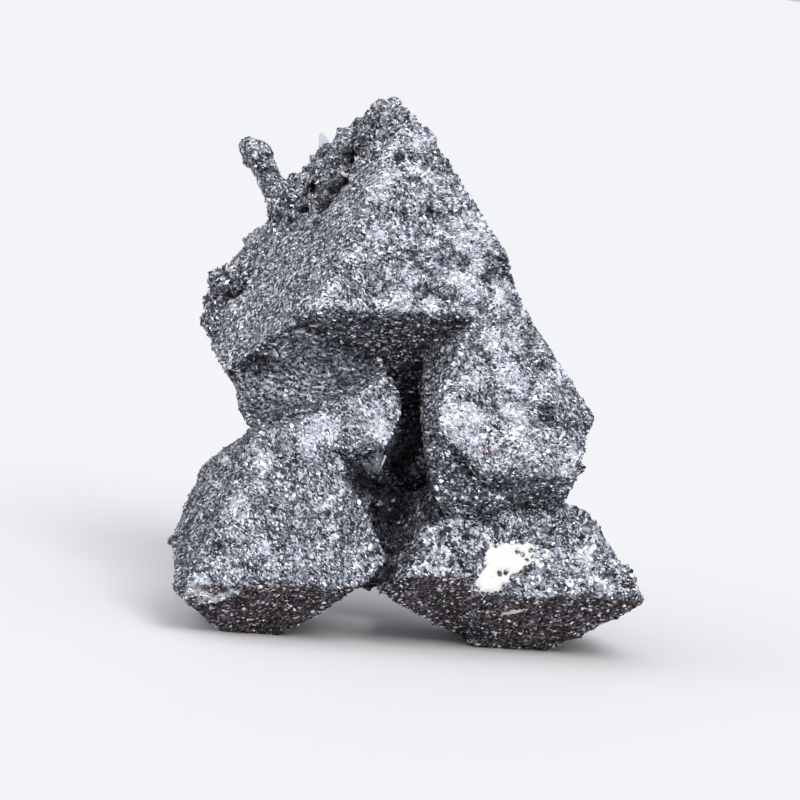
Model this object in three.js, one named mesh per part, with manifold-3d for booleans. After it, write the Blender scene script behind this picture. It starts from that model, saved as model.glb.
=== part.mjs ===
// Hematite pseudomorph after magnetite: a cluster of octahedra that grew parallel to one another, with a
// stepped hollow under the upper crystal, a deep cleft, growth ledges, a knobbly crust along the top and two feet.
// Millimetres, +Z up. The crystals are laid out point-up around a middle point. The whole is then leant forward,
// cut flat where it stands, and moved so that the middle of its underside is the origin.
import * as THREE from "three";
import { ConvexGeometry } from "three/addons/geometries/ConvexGeometry.js";
import { mergeVertices } from "three/addons/utils/BufferGeometryUtils.js";
import Module from "manifold-3d";

const wasm = await Module();
wasm.setup();

// Attitude of the cluster, in degrees
const TURN = 25.3; // bearing of every crystal's front face, from -Y towards +X
const LEAN = 9; // how far the crystals' upright axis leans forward
const FACE_RISE = 35.264; // an octahedral face's normal above the horizon
// Height of the flat that the two feet stand on, before the last move
const FOOT_LEVEL = -21.6;

// Main crystals: distances from the middle point to each one's faces
const CROWN = { front: 2.6, left: 11.2, right: 16.2, rear: 27.5, lowerFront: -11.7, lowerRear: 12.5 };
const UPPER = {
  front: 2.5, left: 11.4, right: 14.85, rear: 27, lowerFront: -6.15, lowerRear: 13.6, lowerLeft: 12,
};
const STRIP = { front: 2.5, left: -1.4, right: 14.7, lowerFront: 8.1, lowerRear: 11 };
const STEP = { front: 1, left: -3.4, right: 11.5, lowerFront: 9.4, lowerRear: 11, lowerRight: 12.5 };
const SHOULDER = { front: -0.5, left: 9.6, right: 0.5, lowerFront: 4.2, lowerRear: 13, lowerRight: 1 };
const LEFT_FOOT = { front: -0.5, left: 9.55, right: -8.4, lowerFront: 16.2, lowerRear: 14 };
const RIGHT_FOOT = { front: -1.5, left: -8, right: 10, lowerFront: 16.3, lowerRear: 15.5 };
const SPUR = { front: 0.5, left: -6.4, right: -4, lowerFront: 15.8, lowerRear: 12 };
const CORE = { front: -8.5, left: 7, right: 8, rear: 10, lowerFront: 8.5, lowerRear: 16, lowerRight: 13 };
const WHOLE = 40; // reach of a face that a neighbour hides

// Broken and worn sides: [bearing, rise, distance from the middle point]
const TOP_BREAK = [-122, 32, 23.6];
const UPPER_LEFT_BREAK = [-80, -41, 12];
const WAIST = [-87, -40, 12.8];
const HOLLOW_FLOOR = [-55, 71, 2.1];
const CLEFT_SIDE = [-91, -11, -2];
const INNER_CORNER = [-73, -60, 14.2];
const CROWN_TRIMS = [TOP_BREAK, UPPER_LEFT_BREAK, [128, 38, 18.9]];
const UPPER_TRIMS = [TOP_BREAK, UPPER_LEFT_BREAK, [-107, 28, 21.6]];
const STRIP_TRIMS = [CLEFT_SIDE, [-53, 26, -1.9], [-28, -32, 1.3], [97, -14, 17.7]];
const STEP_TRIMS = [[-93, -27, -1]];
const SHOULDER_TRIMS = [WAIST, HOLLOW_FLOOR, [-121, 46, 2.3], [86, 22, -0.1], [-81, -34, 13.7]];
const LEFT_FOOT_TRIMS = [
  [-125, 43, 3], [-99, 7, 14.5], [-88, -19, 21.3], [-70, -51, 25.4],
  [85, -52, 11.9], [97, -46, 9], [114, 27, -7.7],
];
const RIGHT_FOOT_TRIMS = [INNER_CORNER, [81, -53, 27.7], [94, -11, 27.2], [-173, 35, -3.5], [-48, -30, 4.9]];
const SPUR_TRIMS = [INNER_CORNER, [-100, 17, -6.3]];
const CORE_TRIMS = [WAIST, [-119, 43, 6]];

// The cleft between the left and right crystals, cut into the core alone
const CLEFT = { lowerRear: 12.5 };
const CLEFT_TRIMS = [[-92, 6, 0.1], [93, 11, 3.7], [TURN - 180, 54.7, 6], [TURN, -54.7, 14]];

// Crystals at the back: centre, and distance from it to each face
const BACK_CRYSTALS = [
  { at: [5, 14, -8.5], size: 5.2 },
  { at: [-7, 7.5, -11], size: 5.4 },
  { at: [-9, 20, 5], size: 5 },
  { at: [6.5, 17, -2], size: 3.6 },
  { at: [1, 17.5, 2], size: 3.4 },
];

// Growth ledges: each step back from the front widens the named face a little
const LEDGES = [
  { of: LEFT_FOOT, trims: LEFT_FOOT_TRIMS, face: "lowerFront", steps: 4, tread: 1.3, height: 0.16 },
  { of: RIGHT_FOOT, trims: RIGHT_FOOT_TRIMS, face: "lowerFront", steps: 4, tread: 1.2, height: 0.16 },
  { of: STRIP, trims: STRIP_TRIMS, face: "lowerFront", steps: 2, tread: 0.8, height: 0.18 },
  { of: SHOULDER, trims: SHOULDER_TRIMS, face: "lowerFront", steps: 4, tread: 1.4, height: 0.2 },
];

// Small crystals that stand a little proud of the big ones' faces
const GRAINS = [
  { of: CROWN, trims: CROWN_TRIMS, face: "front", count: 20, size: [0.4, 0.9], stand: [0.14, 0.34] },
  { of: UPPER, trims: UPPER_TRIMS, face: "front", count: 18, size: [0.4, 0.85], stand: [0.14, 0.34] },
  { of: UPPER, trims: UPPER_TRIMS, face: "left", count: 12, size: [0.35, 0.6], stand: [0.1, 0.22] },
  { of: UPPER, trims: UPPER_TRIMS, face: "lowerRear", count: 9, size: [0.7, 1.4], stand: [0.2, 0.5] },
  { of: UPPER, trims: UPPER_TRIMS, face: "right", count: 6, size: [0.6, 1.1], stand: [0.15, 0.4] },
  { of: STRIP, trims: STRIP_TRIMS, face: "front", count: 18, size: [0.35, 0.75], stand: [0.12, 0.28] },
  { of: STRIP, trims: STRIP_TRIMS, face: "right", count: 7, size: [0.5, 1.1], stand: [0.15, 0.4] },
  { of: SHOULDER, trims: SHOULDER_TRIMS, face: "front", count: 8, size: [0.35, 0.65], stand: [0.1, 0.25] },
  { of: LEFT_FOOT, trims: LEFT_FOOT_TRIMS, face: "front", count: 14, size: [0.35, 0.8], stand: [0.1, 0.25] },
  { of: LEFT_FOOT, trims: LEFT_FOOT_TRIMS, face: "left", count: 6, size: [0.4, 0.8], stand: [0.15, 0.4] },
  { of: RIGHT_FOOT, trims: RIGHT_FOOT_TRIMS, face: "front", count: 12, size: [0.35, 0.75], stand: [0.12, 0.3] },
  { of: RIGHT_FOOT, trims: RIGHT_FOOT_TRIMS, face: "right", count: 6, size: [0.5, 1], stand: [0.15, 0.4] },
  { of: RIGHT_FOOT, trims: RIGHT_FOOT_TRIMS, face: "lowerRear", count: 4, size: [0.7, 1.2], stand: [0.2, 0.45] },
  { of: LEFT_FOOT, trims: LEFT_FOOT_TRIMS, face: "lowerRear", count: 4, size: [0.7, 1.2], stand: [0.2, 0.45] },
];

// The hollow under the upper crystal: a bowl of rings, each one deeper and smaller, along the line where the
// crystal's underside meets the floor below it. Its mouth faces one bearing and rise, and its rings run in along
// another.
const HOLLOW = { centre: [-7.8, -4.1, 2.4], facing: [5, 37], inward: [-175, -13], length: 12, width: 5.5 };
const HOLLOW_RINGS = { count: 7, narrowing: 0.13, depth: 1.12, taper: 0.96, mouth: 6, sides: 26 };

// Knobbly crust along the top edge, from the left end to the peak: knobs stand on it, and others run down the left
// face and back behind the edge, less far near the peak
const TOP_EDGE = [[-13.8, 17, 12.4], [-9.7, 17.6, 17.8], [-5.2, 15.2, 23.2]];
const CRUST = { count: 54, radius: [0.6, 1.5], down: 4, behind: 4, atPeak: 0.5 };
const CRUST_STAND = [-0.3, 0.5]; // how far a knob on the edge stands out
const CRUST_SINK = 0.5; // part of its radius that a knob on the left face is sunk
const CRUST_PROUD = 0.2;
// A knob is a many-cornered lump [x, y, z, radius]
const KNOB_CORNERS = 11;
const KNOB_TURN = 2.4; // from one corner to the next, in radians
const KNOB_REACH = [0.86, 1.14];
const STALK = [[-13.4, 17, 13.2, 1.15], [-14.4, 17.2, 14.1, 0.9], [-15.2, 17.4, 14.9, 0.85], [-16, 17.6, 15.5, 1]];
const KNOB = [-16.9, 17.8, 16.1, 1.45];
const KNOBS = [
  [-17.9, 12.4, 4.3, 1.3], [-17.2, 12.4, 5.7, 1], [-18.6, 12.4, 2.9, 0.95], [-16.6, 9.4, 3.6, 0.7],
  [-14.8, -6, -6.2, 0.8], [23.4, 2.6, -15.2, 1], [22.8, 3, -16.2, 0.8], [21.6, 1.4, -13.4, 0.6],
];
const PITS = [[-11.4, 15.2, 14.4, 0.8], [-9.2, 12.2, 15.2, 0.75], [-8, 14.6, 18.4, 0.7], [-16.9, 10, 4.9, 0.75]];
const NOTCH = [17.2, 2.6, -0.9, 2.1];

const BEARINGS = { front: 0, right: 90, rear: 180, left: -90 };
const SEEDS = { grains: 101, crust: 7, knobs: 3 };
const GROUND = { across: 120, deep: 60 };
const SAME_POINT = 1e-3;
const ON_PLANE = 1e-5;
const PARALLEL = 1e-6;
const WELD = 1e-4;

function direction(bearing, rise) {
  const b = THREE.MathUtils.degToRad(bearing);
  const r = THREE.MathUtils.degToRad(rise);
  return new THREE.Vector3(Math.sin(b) * Math.cos(r), -Math.cos(b) * Math.cos(r), Math.sin(r));
}

const FACES = {};
for (const [name, bearing] of Object.entries(BEARINGS)) {
  const lower = "lower" + name[0].toUpperCase() + name.slice(1);
  FACES[name] = direction(TURN + bearing, FACE_RISE);
  FACES[lower] = direction(TURN + bearing, -FACE_RISE);
}

// Evenly spread numbers between 0 and 1, the same in every run
function sequence(seed) {
  let state = seed;
  return () => {
    state = (state + 0x6d2b79f5) | 0;
    let mixed = Math.imul(state ^ (state >>> 15), 1 | state);
    mixed = (mixed + Math.imul(mixed ^ (mixed >>> 7), 61 | mixed)) ^ mixed;
    return ((mixed ^ (mixed >>> 14)) >>> 0) / 4294967296;
  };
}

const between = ([low, high], random) => low + (high - low) * random();

function planesOf(reaches, trims = []) {
  const octahedral = Object.entries(FACES).map(([name, n]) => new THREE.Plane(n, -(reaches[name] ?? WHOLE)));
  const worn = trims.map(([bearing, rise, reach]) => new THREE.Plane(direction(bearing, rise), -reach));
  return [...octahedral, ...worn];
}

// The point where three planes meet, or null where they don't
function meeting(a, b, c) {
  const m = new THREE.Matrix3().set(...a.normal.toArray(), ...b.normal.toArray(), ...c.normal.toArray());
  if (Math.abs(m.determinant()) < PARALLEL) return null;
  return new THREE.Vector3(-a.constant, -b.constant, -c.constant).applyMatrix3(m.invert());
}

// Every corner of the body that all the planes enclose
function cornersOf(planes) {
  const corners = [];
  planes.forEach((a, i) => {
    planes.slice(i + 1).forEach((b, j) => {
      for (const c of planes.slice(i + j + 2)) {
        const p = meeting(a, b, c);
        if (!p || planes.some((plane) => plane.distanceToPoint(p) > ON_PLANE)) continue;
        if (!corners.some((q) => q.distanceTo(p) < SAME_POINT)) corners.push(p);
      }
    });
  });
  return corners;
}

function solid(geometry) {
  const bare = geometry.clone();
  bare.deleteAttribute("normal");
  bare.deleteAttribute("uv");
  const merged = mergeVertices(bare, WELD);
  const vertProperties = new Float32Array(merged.attributes.position.array);
  const triVerts = new Uint32Array(merged.index.array);
  return new wasm.Manifold(new wasm.Mesh({ numProp: 3, vertProperties, triVerts }));
}

function geometryOf(manifold) {
  const mesh = manifold.getMesh();
  const geometry = new THREE.BufferGeometry();
  geometry.setAttribute("position", new THREE.BufferAttribute(new Float32Array(mesh.vertProperties), 3));
  geometry.setIndex(new THREE.BufferAttribute(new Uint32Array(mesh.triVerts), 1));
  return geometry;
}

const join = (solids) => solids.reduce((body, piece) => body.add(piece));

const crystal = (reaches, trims) => solid(new ConvexGeometry(cornersOf(planesOf(reaches, trims))));

// A whole small octahedron, parallel to the others, from its centre and the distance to its faces
function smallCrystal(centre, size) {
  const reaches = {};
  for (const [name, n] of Object.entries(FACES)) reaches[name] = n.dot(centre) + size;
  return crystal(reaches);
}

function ledges({ of, trims, face, steps, tread, height }) {
  const treads = [];
  for (let i = 1; i <= steps; i += 1) {
    treads.push(crystal({ ...of, front: of.front - i * tread, [face]: of[face] + i * height }, trims));
  }
  return treads;
}

// The corners of one face of a crystal, in order round its middle
function outlineOf(reaches, trims, face) {
  const plane = new THREE.Plane(FACES[face], -reaches[face]);
  const all = cornersOf(planesOf(reaches, trims));
  const corners = all.filter((p) => Math.abs(plane.distanceToPoint(p)) < SAME_POINT);
  const middle = corners.reduce((sum, p) => sum.add(p), new THREE.Vector3()).divideScalar(corners.length);
  const across = corners[0].clone().sub(middle).normalize();
  const up = new THREE.Vector3().crossVectors(plane.normal, across);
  const angle = (p) => Math.atan2(p.clone().sub(middle).dot(up), p.clone().sub(middle).dot(across));
  return { middle, corners: corners.sort((p, q) => angle(p) - angle(q)) };
}

function grains({ of, trims, face, count, size, stand }, index) {
  const random = sequence(SEEDS.grains + index);
  const { middle, corners } = outlineOf(of, trims, face);
  const sectors = corners.map((p, i) => new THREE.Triangle(middle, p, corners[(i + 1) % corners.length]));
  const area = sectors.reduce((sum, sector) => sum + sector.getArea(), 0);
  const made = [];
  for (let i = 0; i < count; i += 1) {
    let left = random() * area;
    const sector = sectors.find((s) => (left -= s.getArea()) <= 0) ?? sectors[0];
    const outward = Math.sqrt(random());
    const place = sector.b.clone().lerp(sector.c, random());
    place.sub(sector.a).multiplyScalar(outward).add(sector.a);
    const reach = between(size, random);
    made.push(smallCrystal(place.addScaledVector(FACES[face], between(stand, random) - reach), reach));
  }
  return made;
}

// An uneven many-sided knob
function knob([x, y, z, radius], random) {
  const corners = [];
  for (let i = 0; i < KNOB_CORNERS; i += 1) {
    const height = 1 - (2 * (i + 0.5)) / KNOB_CORNERS;
    const bearing = i * KNOB_TURN + random();
    const ring = Math.sqrt(1 - height * height);
    const reach = radius * between(KNOB_REACH, random);
    const p = new THREE.Vector3(Math.cos(bearing) * ring, Math.sin(bearing) * ring, height);
    corners.push(p.multiplyScalar(reach).add(new THREE.Vector3(x, y, z)));
  }
  return solid(new ConvexGeometry(corners));
}

function crust() {
  const random = sequence(SEEDS.crust);
  const edge = new THREE.CatmullRomCurve3(TOP_EDGE.map((p) => new THREE.Vector3(...p)));
  const out = direction(TOP_BREAK[0], TOP_BREAK[1]);
  const knobs = [];
  for (let i = 0; i < CRUST.count; i += 1) {
    const along = i / (CRUST.count - 1);
    const tangent = edge.getTangent(along);
    const radius = between(CRUST.radius, random);
    const place = edge.getPoint(along);
    const spread = THREE.MathUtils.lerp(1, CRUST.atPeak, along) * random();
    if (i % 2 === 0) {
      const down = new THREE.Vector3().crossVectors(tangent, FACES.left).normalize();
      place.addScaledVector(down, spread * CRUST.down);
      place.addScaledVector(FACES.left, CRUST_PROUD - radius * CRUST_SINK);
    } else {
      const behind = new THREE.Vector3().crossVectors(out, tangent).normalize();
      place.addScaledVector(behind, spread * CRUST.behind);
      place.addScaledVector(out, between(CRUST_STAND, random));
    }
    knobs.push(knob([place.x, place.y, place.z, radius], random));
  }
  return knobs;
}

// The stepped bowl: a turned profile of rings, stretched along the line of the hollow
function hollow() {
  const { count, narrowing, depth, taper, mouth, sides } = HOLLOW_RINGS;
  const profile = [new THREE.Vector2(0, -mouth), new THREE.Vector2(1, -mouth)];
  for (let i = 0; i < count; i += 1) {
    const radius = 1 - i * narrowing;
    profile.push(new THREE.Vector2(radius, i * depth));
    profile.push(new THREE.Vector2(radius * taper, (i + 1) * depth));
  }
  profile.push(new THREE.Vector2(0, count * depth));
  const behind = direction(...HOLLOW.facing).negate();
  const along = new THREE.Vector3().crossVectors(FACES.lowerFront, direction(...HOLLOW_FLOOR));
  along.projectOnPlane(behind).normalize();
  const across = new THREE.Vector3().crossVectors(along, behind);
  const place = new THREE.Matrix4().makeBasis(along, direction(...HOLLOW.inward), across);
  place.setPosition(...HOLLOW.centre);
  const bowl = new THREE.LatheGeometry(profile, sides).scale(HOLLOW.length, 1, HOLLOW.width);
  return solid(bowl.applyMatrix4(place));
}

function wholeCluster() {
  const random = sequence(SEEDS.knobs);
  const core = crystal(CORE, CORE_TRIMS).subtract(crystal(CLEFT, CLEFT_TRIMS));
  const left = [crystal(SHOULDER, SHOULDER_TRIMS), crystal(LEFT_FOOT, LEFT_FOOT_TRIMS)];
  const upper = [crystal(CROWN, CROWN_TRIMS), crystal(UPPER, UPPER_TRIMS)];
  const right = [
    crystal(STRIP, STRIP_TRIMS), crystal(STEP, STEP_TRIMS),
    crystal(RIGHT_FOOT, RIGHT_FOOT_TRIMS), crystal(SPUR, SPUR_TRIMS),
  ];
  const back = BACK_CRYSTALS.map(({ at, size }) => smallCrystal(new THREE.Vector3(...at), size));
  const knobs = [...STALK, KNOB, ...KNOBS].map((place) => knob(place, random));
  const cuts = [...PITS, NOTCH].map((place) => knob(place, random));
  const onLeft = GRAINS.filter(({ of }) => of === SHOULDER || of === LEFT_FOOT);
  const elsewhere = GRAINS.filter((row) => !onLeft.includes(row));
  const treads = LEDGES.flatMap(ledges);
  const body = join([core, ...left, ...back, ...upper, ...treads, ...onLeft.flatMap(grains)]).subtract(hollow());
  return join([body, ...right, ...elsewhere.flatMap(grains), ...crust(), ...knobs]).subtract(join(cuts));
}

// Leans the cluster forward, cuts its feet flat and sets its underside's middle on the origin
function stand(cluster) {
  const leant = geometryOf(cluster).rotateX(THREE.MathUtils.degToRad(LEAN));
  const ground = new THREE.BoxGeometry(GROUND.across, GROUND.across, GROUND.deep);
  ground.translate(0, 0, FOOT_LEVEL - GROUND.deep / 2);
  const geometry = geometryOf(solid(leant).subtract(solid(ground)));
  geometry.computeBoundingBox();
  const box = geometry.boundingBox.clone();
  const middle = box.getCenter(new THREE.Vector3());
  geometry.translate(-middle.x, -middle.y, -box.min.z);
  geometry.computeVertexNormals();
  return geometry;
}

const hematite = new THREE.MeshStandardMaterial({ color: 0x5d6067, roughness: 0.42, metalness: 0.85 });
const cluster = new THREE.Mesh(stand(wholeCluster()), hematite);
cluster.name = "hematite_crystal_cluster";
const specimen = new THREE.Group();
specimen.add(cluster);
export default specimen;
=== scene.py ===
"""Hematite pseudomorph specimen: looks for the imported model, in metres, standing on its two feet."""

import math
import random

import bmesh
import bpy
from mathutils import Matrix, Vector, noise
from mathutils.bvhtree import BVHTree


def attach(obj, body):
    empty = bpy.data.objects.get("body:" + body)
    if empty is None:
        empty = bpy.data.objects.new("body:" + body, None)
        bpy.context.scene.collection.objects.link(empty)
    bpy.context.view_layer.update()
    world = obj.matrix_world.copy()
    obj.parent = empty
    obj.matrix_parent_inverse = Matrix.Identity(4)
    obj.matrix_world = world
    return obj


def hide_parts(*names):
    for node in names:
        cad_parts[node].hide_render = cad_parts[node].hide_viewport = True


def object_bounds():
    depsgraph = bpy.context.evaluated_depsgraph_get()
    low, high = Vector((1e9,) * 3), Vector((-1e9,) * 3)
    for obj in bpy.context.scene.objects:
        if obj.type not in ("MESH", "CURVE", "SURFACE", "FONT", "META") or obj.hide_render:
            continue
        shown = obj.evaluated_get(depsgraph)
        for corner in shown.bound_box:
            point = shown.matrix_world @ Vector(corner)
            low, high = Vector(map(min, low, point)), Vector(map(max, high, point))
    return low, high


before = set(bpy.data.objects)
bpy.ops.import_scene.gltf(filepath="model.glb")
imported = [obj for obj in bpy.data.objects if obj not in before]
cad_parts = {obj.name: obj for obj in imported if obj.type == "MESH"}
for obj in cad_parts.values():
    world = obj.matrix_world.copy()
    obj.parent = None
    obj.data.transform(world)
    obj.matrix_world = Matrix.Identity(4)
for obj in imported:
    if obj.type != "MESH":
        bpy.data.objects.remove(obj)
cad_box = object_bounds()

bl_info = {
    "name": "Hematite specimen",
    "version": (1, 0, 0),
    "blender": (4, 5, 0),
    "location": "3D View > Sidebar > Hematite",
    "description": "Builds the rough, sparkling surface of a hematite crystal cluster over its solid model",
    "category": "Add Mesh",
}

BODY = "root"
STONE = "hematite_crystal_cluster"
MM = 0.001

# How the crystals lie: the same angles as in the solid model, in degrees
TURN = 25.3
LEAN = 9.0
FACE_RISE = 35.264
LEANING = Matrix.Rotation(math.radians(LEAN), 3, "X")

# Where the picture is taken from, in metres. The picture is in pixels, its sensor and lens in millimetres
SIGHT_POINT = Vector((-2.805, -5.724, 21.6)) * MM
SIGHT_RISE = math.radians(7.1)
SIGHT_ROLL = math.radians(9.1)
SIGHT_DISTANCE = 0.36
PICTURE = 800
SENSOR = 36.0
LENS = 180.0
FOCAL = PICTURE * LENS / SENSOR
# A place just beside the outline is looked for this many millimetres before and behind the sight point
SEARCH = 25

# Agreement with a direction at which a face starts to count as turned to it, and at which it fully does
FRONT_SPAN = (0.7, 0.9)
FRONT_RELIEF_SPAN = (0.75, 0.95)
LEFT_SPAN = (0.6, 0.85)
UNDER_SPAN = (0.35, 0.8)
UNDER_RELIEF_SPAN = (0.45, 0.85)
LEFT_ENOUGH = 0.6
LYING_ENOUGH = 0.7

# The rough skin: the share of its faces that is kept, and how low and how high its levels are in metres
STONE_SHARE = 0.6
LEVEL_SPAN = 0.00028
# The height share that gets neither painted shade nor painted light
LEVEL_MIDDLE = 0.62
# Widths and spacings in its relief, in millimetres
WIDE_PLATE = 1.9
NARROW_PLATE = 0.85
BUMP = 0.75
CRUST_LUMP = 1.4
CRUST_GRAIN = 0.7
FRONT_STEP = 2.1
UNDER_LEDGE = 0.95
# What its parts get of the plates' and ledges' heights
SIDE_PLATES = 0.35
NARROW_PLATES = 0.7
BUMPS = 0.5
BUMPS_LEAST = 0.3
BUMP_PATCHES = (-0.1, 0.3)
FRONT_STEPS = 0.7
BOWL_ARCS = 0.8
CRUST_GRAINS = 0.5
CRUST_MIDDLE = 0.9
PLATE_CHANCE = 0.3
PLATE_SLOPE = 0.7
PLATES_APART = 7.3
KNOB_SPREAD = 0.8
# Soft chance values: how far they reach either way, and how fast they change per millimetre
LUMP_RATE = 0.5
BUMP_RATE = 0.55
STEP_SWAY = (1.1, 0.3)
LEDGE_SWAY = (0.5, 0.35)
BROAD_CLOUDS = (0.26, 0.3)
FINE_CLOUDS = (0.1, 1.3)
PLATE_SWAYS = ((0.3, 2.1), (0.3, 4.7))
ARC_SWAY = (1.1, 0.45)
GRAIN_SWAY = (90, 0.3)

# Where parts of the stone start or end, in metres
FOOT_BROWN = (0.011, 0.007)
CLEFT_WALL_FROM = -0.004
FOOT_SIDE_TOP = 0.02
LEFT_FOOT_TOP = (0.023, 0.019)
LEFT_FOOT_RIGHT = (0.0, -0.003)
RIGHT_FOOT_TOP = (0.0165, 0.0145)
RIGHT_FOOT_LEFT = (-0.004, -0.001)
# Factors and shares that make a place darker or whiter than its face; all but the crust's are painted shade
# and light
CLEFT_WALL_PAINTED_SHADE = 0.72
FOOT_SIDE_PAINTED_SHADE = 0.8
CRUST_SHADE = 0.38
PAINTED_SHADE_MOST = 0.85
PIT_PAINTED_SHADE = 0.93
LEVEL_PAINTED_LIGHT_AND_SHADE = 0.32
LEVEL_PAINTED_SPARKLE = 0.24
FRONT_PAINTED_LIGHT = 0.1
ARC_PAINTED_LIGHT_AND_SHADE = 1.2
SIDE_LEVELS = 0.45
LEFT_FOOT_CALM = 0.8

# How the long grains lie in the picture, in degrees
GRAINS_ON_LEFT = 50
GRAINS_ON_FOOT = -55
GRAINS_ON_REST = -25
# Where the left foot's grains end, in metres
FOOT_GRAINS_RIGHT = -0.002
FOOT_GRAINS_TOP = 0.022

# Places in the 800 by 800 picture are given across and down. Radii are in millimetres.
CRUST_LINE = (
    (290, 214), (312, 197), (332, 179), (352, 160), (372, 141), (390, 120),
)
CRUST_REACH = 3.2
CRUST_KNOBS = 34
CRUST_ASIDE = (-6, 9)
CRUST_DOWN = (-6, 14)
CRUST_RADII = (0.35, 1.0)
# Knobs are sunk by this share of their radius, and keep this many metres from the solid's box
KNOB_SEED = 11
KNOB_SUNK = 0.45
KNOB_MARGIN = 0.00045
STALK_KNOBS = (
    (257, 155, 1.4), (250, 150, 1.0), (263, 167, 1.15), (270, 180, 1.2), (279, 192, 1.4), (289, 204, 1.6),
    (281, 207, 1.3), (300, 196, 1.2), (308, 182, 0.9),
)
NODULE_KNOBS = (
    (207, 296, 1.05), (219, 276, 0.85), (204, 317, 0.45), (234, 277, 0.7), (216, 311, 0.6),
    (212, 330, 0.4), (225, 285, 0.6), (248, 279, 0.5),
)
NODULE_REACH = 3
# Painted shade in the cleft, under the arch and below the feet: across, down, radius and strength
PAINTED_SHADE_SPOTS = (
    (368, 480, 1.8, 0.6), (385, 492, 2.0, 0.7), (397, 512, 1.9, 0.75), (408, 455, 2.0, 0.6),
    (412, 405, 1.8, 0.35), (402, 542, 1.8, 0.7), (420, 522, 1.5, 0.55), (396, 470, 1.8, 0.6),
    (392, 572, 1.2, 0.6), (415, 490, 1.8, 0.6), (490, 512, 1.5, 0.35), (520, 510, 1.6, 0.3),
    (462, 322, 1.6, 0.3), (300, 322, 1.5, 0.25), (400, 330, 2.4, 0.25), (270, 343, 1.5, 0.3),
    (330, 328, 1.8, 0.3), (365, 324, 1.8, 0.3), (432, 332, 1.8, 0.25), (250, 354, 1.2, 0.35),
    (386, 372, 0.9, 0.5), (450, 610, 1.1, 0.5), (344, 460, 0.9, 0.3), (360, 482, 1.1, 0.3),
)
# Across, down, radius and depth in the surface
PITS = (
    (313, 187, 0.95, 1.0), (306, 211, 0.8, 0.9), (324, 205, 1.15, 1.0), (341, 184, 1.0, 1.0),
    (354, 158, 1.3, 1.0), (363, 142, 0.9, 0.9), (228, 297, 0.9, 0.9), (238, 293, 0.9, 0.9),
    (245, 286, 0.6, 0.8), (400, 158, 0.6, 0.6), (262, 361, 1.2, 0.9), (430, 209, 0.5, 0.8),
    (405, 213, 0.45, 0.7), (421, 215, 0.4, 0.6), (452, 246, 0.45, 0.6), (547, 413, 1.1, 0.5),
    (562, 423, 1.3, 0.12), (316, 222, 0.6, 0.7), (334, 194, 0.7, 0.9), (349, 168, 0.6, 0.8),
    (403, 348, 0.8, 0.6),
)
# Painted sparkle: across, down, radius and strength; whiter painted highlight above nought, greyer painted
# shade below
PAINTED_SPARKLE_SPOTS = (
    (449, 416, 1.3, 0.6), (468, 414, 1.5, 0.6), (453, 434, 1.3, 0.6), (474, 434, 1.5, 0.5),
    (484, 419, 1.2, 0.4), (478, 450, 1.1, 0.4), (516, 424, 1.9, 0.4), (506, 410, 1.2, 0.25),
    (409, 274, 1.5, 0.3), (390, 272, 1.0, 0.3), (404, 304, 0.9, 0.5), (452, 275, 1.9, 0.4),
    (475, 291, 1.5, 0.5), (467, 308, 1.1, 0.4), (430, 304, 1.0, 0.3), (504, 290, 1.6, 0.4),
    (478, 266, 1.0, 0.4), (491, 340, 1.2, 0.4), (512, 341, 1.2, 0.4), (512, 381, 1.6, 0.35),
    (467, 383, 1.3, 0.3), (545, 381, 1.2, 0.35), (325, 427, 2.0, 0.5), (376, 430, 1.6, 0.5),
    (365, 402, 1.8, 0.3), (310, 446, 1.4, 0.4), (266, 460, 1.3, 0.4), (201, 585, 1.3, 0.45),
    (228, 566, 1.5, 0.3), (240, 509, 1.4, 0.25), (262, 548, 1.3, 0.2), (270, 570, 1.2, 0.25),
    (350, 558, 1.9, 0.15), (440, 540, 2.4, 0.15), (583, 558, 1.3, 0.35), (592, 541, 1.0, 0.3),
    (541, 590, 1.8, 0.35), (570, 560, 1.8, 0.1), (400, 110, 2.2, 0.35), (412, 135, 2.4, 0.25),
    (425, 290, 0.9, -0.5), (444, 263, 0.9, -0.5), (490, 271, 1.0, -0.5), (486, 280, 0.8, -0.5),
    (512, 299, 0.9, -0.3), (453, 295, 0.6, -0.4), (479, 308, 0.6, -0.4), (464, 262, 0.6, -0.4),
    (548, 414, 1.3, -0.3), (380, 475, 3.4, -0.35), (500, 500, 3.0, -0.25), (465, 400, 1.1, -0.2),
    (540, 505, 2.0, -0.2), (350, 505, 1.2, -0.2), (452, 478, 2.9, -0.6), (470, 235, 3.0, 0.35),
    (478, 280, 2.6, 0.2), (400, 200, 5.0, 0.1), (420, 240, 4.0, 0.08), (375, 463, 1.6, 0.9),
    (565, 380, 1.6, 0.25), (290, 350, 3.4, 0.3), (330, 365, 2.6, 0.35), (270, 400, 2.8, 0.3),
    (300, 400, 2.4, 0.25), (436, 564, 1.2, 0.4), (420, 572, 1.0, 0.35), (446, 552, 0.8, 0.25),
    (469, 576, 1.1, -0.5), (463, 560, 0.8, -0.4),
)
ROSE_SPOT = (485, 449, 0.55, 0.8)
# Painted light patches that run down over the lower edge of the left foot: across, down and radius
LIGHT_PATCHES = ((192, 592, 1.0), (205, 597, 1.0), (219, 598, 0.9), (233, 592, 0.8))
LIGHT_SHARE = 0.8
# Smooth grey plates on the front: across, down and radius
GREY_PLATES = (
    (424, 290, 0.95), (443, 262, 0.9), (437, 272, 0.6), (453, 254, 0.55), (466, 262, 0.6),
    (492, 267, 0.8), (485, 278, 0.6), (417, 239, 0.65), (451, 291, 0.5), (476, 307, 0.55),
    (512, 299, 0.75), (503, 283, 0.5), (531, 345, 0.5), (468, 352, 0.45), (524, 372, 0.45),
    (399, 262, 0.45), (545, 530, 0.7), (556, 536, 0.5),
)
PLATE_CRYSTALS = 0.15

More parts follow.
